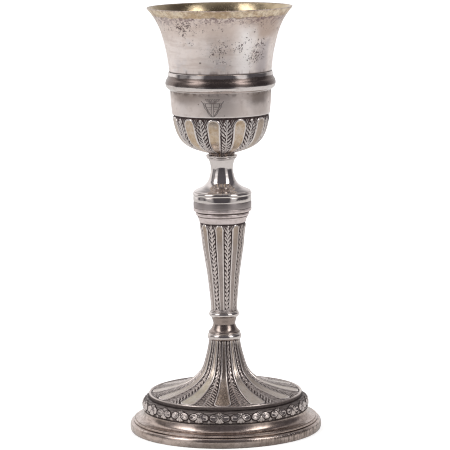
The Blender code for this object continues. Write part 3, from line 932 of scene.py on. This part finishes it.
def cup_metal():
    """The cup: pitted satin silver outside, gilt inside, and a worn gilt strip at the lip."""
    mat = Surface("silver_cup", (0.93, 0.84, 0.80))
    clouds = mat.noise(0.05, rough=0.62)
    mottle = mat.mottle(0.28, rough=0.65)
    fine = mat.fine(1.9, detail=4.0, rough=0.65)
    marks = mat.turning_marks(across=0.04, up=4.0)
    z = mat.z
    mat.coat(clouds.rise(0.40, 0.68) * 0.55, (0.80, 0.695, 0.64))
    mat.coat(mottle.rise(0.48, 0.76) * 0.35, (0.55, 0.465, 0.42))
    cool = mat.noise(0.12, detail=3.0, seed=21.0).rise(0.5, 0.7)
    mat.coat(cool * 0.35, (0.74, 0.72, 0.745))

    # browner towards the top, under the lip, then stains and a painted highlight
    high = (z + (mottle - 0.5) * 9.0).rise(246.0, 257.0)
    mat.coat(high * 0.42, (0.56, 0.425, 0.35))
    streak = mat.noise(1.0, rough=0.62, seed=83.0, stretch=(0.05, 0.05, 0.30))
    mat.coat(streak.rise(0.46, 0.66) * 0.34, (0.56, 0.44, 0.375))
    coat_zones(mat, CUP_STAINS_AND_HIGHLIGHT)

    dark = cup_pitting(mat)
    mat.coat(dark * 0.86, (0.115, 0.075, 0.075))

    # stains just under the gilt strip and just above the moulding, and the cup darker down
    # towards the moulding
    edge = GILT_EDGE + (mat.noise(0.22, rough=0.65, seed=41.0) - 0.5) * 4.2
    stain = mat.noise(0.50, detail=5.0, rough=0.70, distortion=0.6, seed=43.0)
    stain = (edge - z).fall(0.5, 6.5) * stain.rise(0.465, 0.56)
    mat.coat(stain * 0.78, (0.20, 0.13, 0.135))
    brink = mat.noise(0.13, detail=3.0, seed=44.0).rise(0.42, 0.58)
    brink = abs(edge - z).fall(0.15, 0.75) * brink
    seep = mat.noise(1.0, detail=3.0, seed=47.0, stretch=(0.35, 0.35, 0.06))
    seep = z.fall(230.0, 233.0) * seep.rise(0.48, 0.66)
    mat.coat(seep * 0.65, (0.25, 0.19, 0.175))
    sheltered = (z + (mottle - 0.5) * 3.0).rise(227.0, 229.4, start=0.42)
    sheltered = z.fall(229.6, 230.5, start=0.85) * sheltered
    shade = mat.mix(z.rise(227.0, 229.6), (0.26, 0.20, 0.17), (0.12, 0.09, 0.08))
    mat.coat(sheltered, shade)

    # gilding: a worn strip outside, rubbed away on the lip, then the whole of the inside
    strip = (z - edge).rise(-0.25, 0.35)
    rubbed = mat.noise(0.30, detail=5.0, rough=0.7, seed=51.0).rise(0.30, 0.52)
    patchy = mat.noise(0.16, detail=5.0, rough=0.65, seed=55.0).rise(0.40, 0.60)
    gold = mat.mix(patchy, (0.83, 0.71, 0.545), (0.56, 0.415, 0.27))
    bare = mat.noise(0.60, rough=0.7, seed=53.0).rise(0.48, 0.66)
    gold = mat.mix(bare * 0.62, gold, (0.32, 0.20, 0.12))
    shown = strip * (rubbed * 0.40 + 0.60)
    shown = shown * (1.0 + z.rise(268.9, 269.7) * -0.7)
    mat.coat(shown, gold)
    mat.coat(brink * 0.6, (0.20, 0.135, 0.11))
    inside = mat.attribute("inside")
    gold = mat.mix(clouds.rise(0.38, 0.7), (0.60, 0.49, 0.33), (0.36, 0.28, 0.175))
    gold = mat.mix(mottle.rise(0.5, 0.75) * 0.5, gold, (0.33, 0.235, 0.13))
    mat.coat(inside, gold)

    roughness = 0.33 + (mottle - 0.5) * 0.24
    roughness = roughness + (marks - 0.5) * 0.12
    roughness = mat.blend(shown, roughness, 0.38)
    roughness = mat.blend(inside, roughness, 0.15 + mottle * 0.11)
    roughness = mat.clamped_sum(roughness, dark * 0.2)
    dents = mat.noise(0.10, detail=2.0, rough=0.5, seed=61.0)
    heights = [(0.02, marks), (0.03, fine), (-0.16, dark * (1.0 - inside)), (0.16, dents)]
    metallic = mat.blend(inside, mat.blend(shown, 0.66, 0.80), 1.0)
    return mat.metal(roughness, heights, metallic)


def band_metal():
    """The calyx's plain band, with the engraved lines darkened."""
    mat = Surface("silver_band", (0.86, 0.78, 0.75))
    mottle, fine = mat.mottle(0.35), mat.fine(2.2)
    marks = mat.turning_marks(across=0.05, up=5.0)
    mat.coat(mat.noise(0.06).rise(0.4, 0.68) * 0.6, (0.72, 0.62, 0.57))
    mat.coat(mottle.rise(0.48, 0.78) * 0.4, (0.48, 0.395, 0.35))
    coat_zones(mat, BAND_STAINS)
    # darker and browner towards the top under the moulding, with stains there, then pits, lines
    # and a painted highlight along the lower edge
    under = (mat.z + (mottle - 0.5) * 3.0).rise(211.5, 215.5)
    mat.coat(under * 0.50, (0.40, 0.32, 0.28))
    stain = mat.z.rise(214.8, 217.4) * mat.noise(0.22, seed=23.0).rise(0.42, 0.60)
    mat.coat(stain * 0.75, (0.19, 0.145, 0.13))
    pits = mat.pits(scale=0.5, density=0.05, small=0.12, large=0.28)
    mat.coat(pits * 0.7, (0.14, 0.10, 0.095))
    mat.coat(mat.attribute("line") * 0.78, (0.085, 0.065, 0.062))
    # painted highlight: a pale line round the rounded lower edge
    mat.coat(mat.z.fall(202.9, 203.5) * 0.7, (0.86, 0.82, 0.80))
    roughness = 0.40 + (mottle - 0.5) * 0.26
    roughness = mat.clamped_sum(roughness, (marks - 0.5) * 0.12)
    return mat.metal(roughness, [(0.015, marks), (0.02, fine)], metallic=0.78)


def foot_rim_metal():
    """The foot's plain rings: browner silver, with upright tool marks round the right side."""
    mat = Surface("silver_foot", (0.62, 0.52, 0.475))
    mottle, fine = mat.mottle(0.30), mat.fine(2.2)
    marks = mat.turning_marks(across=0.05, up=4.5)
    z = mat.z
    mat.coat(mat.noise(0.05).rise(0.36, 0.66) * 0.75, (0.44, 0.35, 0.30))
    mat.coat(mottle.rise(0.46, 0.72) * 0.65, (0.25, 0.195, 0.165))
    smear = mat.noise(1.0, rough=0.65, seed=27.0, stretch=(0.10, 0.10, 0.55))
    mat.coat(smear.rise(0.48, 0.70) * 0.5, (0.22, 0.17, 0.145))
    top_edge = abs(mat.math("SUBTRACT", z, 5.35)).fall(0.1, 0.6)
    rubbed = mat.noise(0.4, seed=37.0).rise(0.42, 0.62, start=0.05, end=0.50)
    mat.coat(top_edge * rubbed, (0.74, 0.68, 0.64))
    # painted shade in the crevices, made uneven by noise
    uneven_shade = mat.noise(0.09, detail=3.0, seed=47.0).rise(0.42, 0.58, start=0.40, end=0.95)
    mat.coat(mat.openness(1.4).fall(0.35, 0.92, start=0.9) * uneven_shade, (0.12, 0.095, 0.083))
    # the tool marks' pattern runs quickly round the piece and slowly up it
    around = mat.node("ShaderNodeCombineXYZ",
                      {"X": mat.angle * 61.0 * 1.15, "Y": z * 0.08, "Z": 0.0})
    hatch = mat.noise(1.0, detail=2.0, rough=0.5, seed=19.0, vector=around)
    where = mat.angle.rise(0.15, 0.75) * (z.rise(0.4, 1.2) * z.fall(4.6, 5.6))
    hatched = where * hatch.rise(0.47, 0.60)
    mat.coat(hatched * 0.65, (0.16, 0.13, 0.11))
    roughness = 0.215 + (mottle - 0.5) * 0.22
    roughness = mat.clamped_sum(roughness, (marks - 0.5) * 0.12)
    dents = mat.noise(0.12, detail=2.0, rough=0.5, seed=61.0)
    return mat.metal(roughness, [(0.009, marks), (0.006, fine), (-0.10, hatched), (0.10, dents)])


def filed_iron():
    """Filed iron with a little rust."""
    mat = Surface("iron_filed", (0.22, 0.205, 0.195))
    mottle, fine = mat.mottle(0.6, rough=0.65), mat.fine(3.5)
    marks = mat.turning_marks(across=0.6, up=6.0, detail=3.0, rough=0.6)
    mat.coat(mottle.rise(0.35, 0.7), (0.12, 0.11, 0.105))
    rust = mat.noise(0.9, seed=5.0).rise(0.55, 0.75)
    mat.coat(rust * 0.35, (0.20, 0.085, 0.035))
    roughness = mat.clamped_sum(0.42, mottle * 0.25)
    return mat.metal(roughness, [(0.03, fine), (0.02, marks)], metallic=0.9)


bright = worn_silver("silver_burnished", rough=0.09, tarnish=0.25, brown=0.16, scratch=0.5,
                     corner_shade=0.9)
ring_metal = worn_silver(
    "silver_ring", rough=0.09, tarnish=0.3, brown=0.25, scratch=0.7,
    film=dict(low=222.3, high=226.8, soft=0.8, amount=0.94, tint=(0.20, 0.155, 0.14)))
bead_metal = worn_silver("silver_bead", rough=0.16, tarnish=0.4, brown=0.35, scratch=0.8)
spool_metal = worn_silver("silver_spool", rough=0.24, tarnish=0.15, brown=0.45, scratch=0.9,
                          tint=(0.37, 0.305, 0.275))
drum_metal = worn_silver("silver_matt", rough=0.40, tarnish=0.1, brown=0.45, scratch=1.2,
                         corner_shade=0.8, dull=0.32, tint=(0.45, 0.40, 0.395))
satin = worn_silver("silver_satin", rough=0.34, tarnish=0.3, brown=0.45, scratch=1.0,
                    metallic=0.88, tint=(0.80, 0.705, 0.69))
collar_metal = worn_silver("silver_collar", rough=0.18, tarnish=0.4, brown=0.4, scratch=0.6)
inner_metal = worn_silver("silver_unpolished", rough=0.45, tarnish=0.7, brown=0.7,
                          scratch=1.4, corner_shade=0.8)
rim_metal = foot_rim_metal()

# Patches and painted highlights: turn, half width (degrees), low, high (mm), soft edge (degrees,
# mm), amount, tint, how matt, and whether they cover everything or only the tongues' faces.
calyx_metal = chased_silver(
    "silver_calyx", rough=0.30, low=0.21, high=0.66, gilt=0.9, gilt_colour=(0.67, 0.53, 0.38),
    patches_and_highlights=[
        (72, 24, 176, 204, 18, 6, 0.70, (0.42, 0.355, 0.32), 0.0, False),
        (-72, 22, 176, 204, 18, 6, 0.60, (0.60, 0.53, 0.49), 0.0, False),
    ])
stem_metal = chased_silver(
    "silver_stem", rough=0.30, low=0.15, high=0.64, ground=(0.058, 0.040, 0.038),
    light=(0.84, 0.755, 0.725), face_light=(0.50, 0.43, 0.40),
    gilt=0.58, gilt_colour=(0.60, 0.47, 0.33), gilt_rise=(112.0, 131.0),
    patches_and_highlights=[
        (66, 30, 74, 136, 26, 6, 0.55, (0.34, 0.285, 0.265), 0.0, True),
        (-72, 22, 74, 136, 20, 6, 0.40, (0.44, 0.38, 0.36), 0.0, False),
    ])
dome_metal = chased_silver(
    "silver_dome", rough=0.20, low=0.12, high=0.85, ground=(0.052, 0.037, 0.035),
    light=(0.68, 0.60, 0.565), face_light=(0.62, 0.545, 0.50),
    gilt=0.35, gilt_colour=(0.52, 0.44, 0.33), haze=0.5,
    # painted highlights: bright, matt faces on the tongues to the front left and right
    patches_and_highlights=[
        (-32.5, 11, 22, 33, 5, 9, 0.95, (0.85, 0.775, 0.66), 0.85, False),
        (27.5, 11, 22, 33, 5, 9, 0.85, (0.83, 0.745, 0.67), 0.85, False),
        (-62.5, 11, 22, 30, 5, 7, 0.45, (0.84, 0.77, 0.71), 0.8, False),
        (57.5, 11, 22, 30, 5, 7, 0.30, (0.76, 0.69, 0.63), 0.8, False),
    ])
palmette_metal = chased_silver(
    "silver_palmette", rough=0.11, low=0.14, high=0.86, ground=(0.050, 0.037, 0.035),
    light=(0.66, 0.59, 0.565), haze=0.5, grain_size=0.35, polish=0.8)
iron = filed_iron()

# ============================================================ turned pieces
# name, half section, CAD node, body, slot, metal, step (mm), segments, wobble (mm)
TURNED = [
    ("base_rim_turned", BASE_RIM, "base_rim", "stand", "silver_satin", rim_metal,
     0.35, SEGMENTS, 0.03),
    ("foot_cavetto_turned", CAVETTO_RING, "foot_cavetto_ring", "stand", "silver_satin",
     rim_metal, 0.35, SEGMENTS, 0.03),
    ("foot_neck_bead", FOOT_NECK_RING, "foot_neck_ring", "stand", "silver_bright",
     bead_metal, 0.2, SLIM_SEGMENTS, 0.0),
    ("lower_spool_turned", LOWER_SPOOL, "lower_spool", "stand", "silver_bright",
     spool_metal, 0.2, SLIM_SEGMENTS, 0.0),
    ("stem_base_bead", STEM_BASE_RING, "stem_base_ring", "stand", "silver_bright",
     bead_metal, 0.2, SLIM_SEGMENTS, 0.0),
    ("stem_capital_turned", STEM_CAPITAL, "stem_capital", "stand", "silver_satin", satin,
     0.2, SEGMENTS, 0.015),
    ("knop_base_bead", KNOP_BASE_RING, "knop_base_ring", "stand", "silver_bright", satin,
     0.2, SEGMENTS, 0.02),
    ("knop_drum_turned", KNOP_DRUM, "knop_drum", "stand", "silver_satin", drum_metal,
     0.25, SEGMENTS, 0.0),
    ("neck_spool_turned", NECK_SPOOL, "neck_spool", "stand", "silver_bright", bright,
     0.2, SEGMENTS, 0.0),
    ("seat_collar_turned", SEAT_COLLAR, "seat_collar", "stand", "silver_satin",
     collar_metal, 0.15, SLIM_SEGMENTS, 0.0),
    ("calyx_rim_moulding", CALYX_RING, "calyx_rim_ring", "calyx", "silver_bright",
     ring_metal, 0.25, SEGMENTS, 0.03),
]
for name, table, node, body, slot, metal, step, segments, wobble in TURNED:
    finish_piece(turned(name, table, step, segments, wobble), node, body, metal)

# ============================================================ chased and engraved pieces
# name, outer and inner half section, angles, ornament, step (mm), CAD node, body, metal
CHASED = [
    ("palmette_band_chased", PALMETTE_OUTER, PALMETTE_INNER,
     even_angles(PALMETTES * 60, PALMETTE_TURN), palmettes, 0.19,
     "palmette_band", "stand", palmette_metal),
    ("foot_dome_chased", DOME_OUTER, DOME_INNER,
     even_angles(DOME_TONGUES * 52, DOME_TURN), dome_ornament, DOME_STEP,
     "foot_dome", "stand", dome_metal),
    ("stem_shaft_chased", SHAFT_OUTER, SHAFT_INNER,
     even_angles(SHAFT_TONGUES * 54, SHAFT_TURN), shaft_ornament, 0.29,
     "stem_shaft", "stand", stem_metal),
    ("calyx_crest_chased", CREST_OUTER, CREST_INNER,
     even_angles(CREST_TONGUES * 64, CREST_TURN), crest_ornament, 0.36,
     "calyx_shell", "calyx", calyx_metal),
]
for name, outer, inner, angles, ornament, step, node, body, metal in CHASED:
    ob = chased(name, outer, inner, angles, ornament, step)
    finish_piece(ob, node, body, metal)


def build_engraved_band():
    """The calyx's plain band, with its columns closer together under the engraving."""
    close = np.arange(ARMS_START, ARMS_END, 0.2)
    wide = np.linspace(ARMS_END, ARMS_START + 360.0, 230, endpoint=False)
    ob = chased("calyx_band_engraved", BAND_OUTER, BAND_INNER, np.concatenate([close, wide]),
                band_engraving, 0.13, inner_value=0.0)
    ob.data.set_sharp_from_angle(angle=radians(50))
    finish_piece(ob, "calyx_shell", "calyx", band_metal())


def bowl_skin(radius, z, angles):
    """Rings of one side of the bowl, which strays a little from a true circle."""
    turn, radius, z = np.radians(angles), radius[:, None], z[:, None]
    sway = np.sin(2 * turn + 0.4) + 0.5 * np.sin(3 * turn + 1.3 + z * 0.03)
    sway = sway + 0.35 * np.sin(5 * turn + 0.7 + z * 0.09) * np.cos(z * 0.21)
    return rings(radius + 0.05 * sway * np.clip(radius / 30, 0, 1), z, angles)


def build_cup():
    """The cup's bowl: down the outside to the floor, then up the inside to the lip."""
    angles = even_angles(300)
    radius, z, _ = sampled(BOWL_OUTER, 0.6)
    outside = bowl_skin(radius, z, angles)
    radius, z, _ = sampled(BOWL_INNER, 1.0)
    lining = bowl_skin(radius[:-1], z[:-1], angles)      # its last ring is the lip's first
    inside = np.vstack([np.zeros(outside.shape[:2]), np.ones(lining.shape[:2])])
    inside[0] = 0.4
    ob = make_mesh("cup_bowl_raised", np.vstack([outside, lining]), {"inside": inside})
    ob.data.set_sharp_from_angle(angle=radians(50))
    finish_piece(ob, "cup_bowl", "cup", cup_metal())


build_engraved_band()
build_cup()

# hidden pieces: the CAD solids themselves
for node, metal in {
    "coupling_sleeve": inner_metal, "tie_rod": iron, "foot_washer": inner_metal,
    "retaining_nut": iron, "cup_boss": inner_metal, "cup_stud": inner_metal,
}.items():
    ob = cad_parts[node]
    ob.data.materials.clear()
    ob.data.materials.append(metal)

# ============================================================ floor, light and camera
scene = bpy.context.scene
scene.view_settings.view_transform = "Standard"
scene.cycles.filter_width = 1.1

WHITE = (1.0, 1.0, 1.0)
LAMP_WHITE = (1.0, 0.985, 0.97)


def floor_paper():
    """Glowing white paper, with its own brightness where the metal mirrors it.

    It is left out of reflections far in front and to the sides, and from below for the camera.
    """
    mat = Surface("floor_paper")
    path = mat.node("ShaderNodeLightPath")
    mirrored = path.output("Is Glossy Ray")
    paper = mat.node("ShaderNodeBsdfDiffuse", {"Color": (0.86, 0.86, 0.86, 1.0)})
    seen = mat.add_shader(paper, mat.emission(WHITE, 0.64))
    # the mirrored floor glows, with a painted shadow: darker near the foot, less so at the flanks
    near = mat.radius.fall(66.0, 105.0)
    flank = mat.angle.fall(-0.62, -0.34) * 0.66 + mat.angle.rise(0.62, 0.86) * 0.34
    glow = mat.radius.rise(45.0, 90.0, start=0.42, end=0.74)
    glow = glow * (1.0 + near * (flank - 0.32))
    shown = mat.mix_shader(mirrored, seen, mat.emission(LAMP_WHITE, glow))
    beyond = mat.larger(mat.y.fall(-500.0, -420.0), abs(mat.x).rise(900.0, 1150.0))
    below = mat.node("ShaderNodeNewGeometry", output="Backfacing")
    absent = mat.larger(beyond * mirrored, below * path.output("Is Camera Ray"))
    mat.finish(mat.mix_shader(absent, shown, mat.node("ShaderNodeBsdfTransparent")))
    return mat.mat


def build_floor():
    half = 30
    corners = [(-half, -half, 0), (half, -half, 0), (half, half, 0), (-half, half, 0)]
    mesh = bpy.data.meshes.new("floor")
    mesh.from_pydata(corners, [], [(0, 1, 2, 3)])
    floor = bpy.data.objects.new("floor", mesh)
    floor.location.z = -0.0002
    scene.collection.objects.link(floor)
    mesh.materials.append(floor_paper())


def build_world():
    """A dim room with two upright lights, bright sides and a ceiling; white to the camera."""
    world = bpy.data.worlds.new("studio")
    scene.world = world
    world.use_nodes = True
    sky = Shader(world.node_tree, "ShaderNodeOutputWorld")
    direction = sky.node("ShaderNodeTexCoord", output="Generated")
    x = sky.node("ShaderNodeSeparateXYZ", {"Vector": direction})
    # degrees: azimuth is 0 on the camera's side and positive to its right
    azimuth = sky.math("ARCTAN2", x, x.output(1) * -1.0) * DEGREES
    elevation = sky.math("ARCSINE", x.output(2)) * DEGREES

    def softbox(centre, half, drift, low, high, soft, dim, bright):
        """An upright light whose centre drifts with height: dim at its foot, brighter above."""
        away = abs(azimuth - (centre + (elevation - 10.0) * drift))
        across = away.fall(half - soft, half + soft)
        up = elevation.rise(low - 6, low + 6) * elevation.fall(high - 4, high + 4)
        foot = elevation.rise(-10.0, 12.0, start=dim, end=0.74)
        return across * up * (foot + elevation.rise(12.0, 42.0, end=bright))

    left_box = softbox(centre=-57.0, half=15.0, drift=-0.30, low=-14, high=66, soft=6.5,
                       dim=0.30, bright=2.4)
    right_box = softbox(centre=49.0, half=12.5, drift=0.22, low=-22, high=64, soft=5.5,
                        dim=0.48, bright=3.0)

    # sides, dimmed high up behind
    behind = abs(azimuth).rise(132.0, 162.0)
    high_back = 1.0 + elevation.rise(16.0, 40.0) * behind * -0.72
    left = azimuth.fall(-122.0, -104.0) * 0.88 * high_back
    left_near = azimuth.rise(-104.0, -98.0) * azimuth.fall(-84.0, -72.0) * 0.20
    right = azimuth.rise(112.0, 134.0) * azimuth.rise(128.0, 165.0, start=0.44, end=0.74)
    right = right * high_back * elevation.fall(14.0, 45.0, end=0.62)

    ends = elevation.rise(62.0, 84.0) * 0.34 + elevation.fall(-70.0, -48.0) * 0.55
    strength = (left_box + right_box) + (left + right + left_near) + ends
    room = sky.mix(elevation.rise(-25.0, 40.0), (0.072, 0.068, 0.075), (0.120, 0.113, 0.124))
    total = sky.add_shader(sky.emission(LAMP_WHITE, strength), sky.emission(room, 1.0))
    to_camera = sky.node("ShaderNodeLightPath", output="Is Camera Ray")
    sky.finish(sky.mix_shader(to_camera, total, sky.emission(WHITE, 1.0)))


def build_camera():
    data = bpy.data.cameras.new("camera")
    camera = bpy.data.objects.new("camera", data)
    scene.collection.objects.link(camera)
    scene.camera = camera
    data.sensor_width = 36.0
    data.lens = 205.36
    data.clip_start, data.clip_end = 0.01, 100.0
    pitch, roll = 0.14679, 0.01529           # radians: looking down, and leaning
    forward = Vector((0.0, cos(pitch), -sin(pitch)))
    level, upright = Vector((1.0, 0.0, 0.0)), Vector((0.0, sin(pitch), cos(pitch)))
    up = cos(roll) * upright + sin(roll) * level
    right = cos(roll) * level - sin(roll) * upright
    axes = Matrix((right, up, -forward)).transposed().to_4x4()
    camera.matrix_world = Matrix.Translation(Vector((0.001424, -1.61437, 0.36992))) @ axes


build_floor()
build_world()
build_camera()
